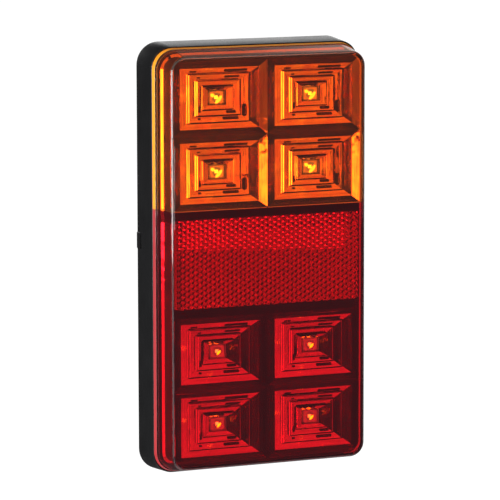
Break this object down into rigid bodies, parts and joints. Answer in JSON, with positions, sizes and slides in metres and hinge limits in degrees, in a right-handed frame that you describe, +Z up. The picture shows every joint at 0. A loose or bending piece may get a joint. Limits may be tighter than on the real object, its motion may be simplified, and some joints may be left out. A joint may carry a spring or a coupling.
{
  "type": "trailer tail light",
  "caption": "Sealed rectangular LED rear combination lamp for a trailer: amber indicator cells over a reflex reflector and red stop and tail cells, on a black tray with rear mounting studs",
  "frame": {"origin": "on the flat mounting face at the back of the tray, midway between the two mounting studs", "axes": "+Z up along the lamp's length, with the amber cells at the top; +Y out of the mounting face along the studs, so the lamp shines towards -Y; +X to the right as the lit face is seen"},
  "size_m": [0.0794, 0.0427, 0.15],
  "materials": {
    "black_plastic": "satin injection-moulded black plastic",
    "amber_clear": "polished transparent amber plastic",
    "red_clear": "polished transparent red plastic",
    "sealant": "cured grey-black sealant",
    "bright_metallised": "vacuum-metallised bright plastic",
    "reflex_red": "polished prismatic red plastic",
    "backing_plastic": "plain pale backing plate",
    "board_mask": "white solder mask on glass-epoxy board",
    "zinc_steel": "bright zinc-plated steel",
    "solder": "tinned copper and solder",
    "led_white": "white LED package",
    "led_die": "LED die",
    "led_clear": "clear silicone dome",
    "chip_black": "black moulded component body",
    "chip_tan": "tan ceramic component body",
    "potting": "cured black potting compound",
    "gland_rubber": "black rubber"
  },
  "bodies": {
    "root": {"rear_housing": "black_plastic", "amber_lens": "amber_clear", "red_lens": "red_clear", "sealant_bead": "sealant", "indicator_reflector": "bright_metallised", "stop_tail_reflector": "bright_metallised", "light_baffle": "black_plastic", "reflex_reflector": "reflex_red", "reflex_backing": "backing_plastic", "circuit_board": "board_mask", "board_screws": "zinc_steel", "lead_solder_eyelets": "solder", "indicator_led_packages": "led_white", "indicator_led_dies": "led_die", "indicator_led_domes": "led_clear", "indicator_led_solder_tabs": "solder", "stop_tail_led_packages": "led_white", "stop_tail_led_dies": "led_die", "stop_tail_led_domes": "led_clear", "stop_tail_led_solder_tabs": "solder", "ballast_resistors": "chip_black", "resistor_terminals": "solder", "current_regulators": "chip_black", "regulator_legs": "solder", "polarity_diodes": "chip_black", "surge_suppressor": "chip_black", "smoothing_capacitors": "chip_tan", "potting_compound": "potting", "cable_gland": "gland_rubber", "mounting_studs": "zinc_steel"}
  },
  "joints": []
}
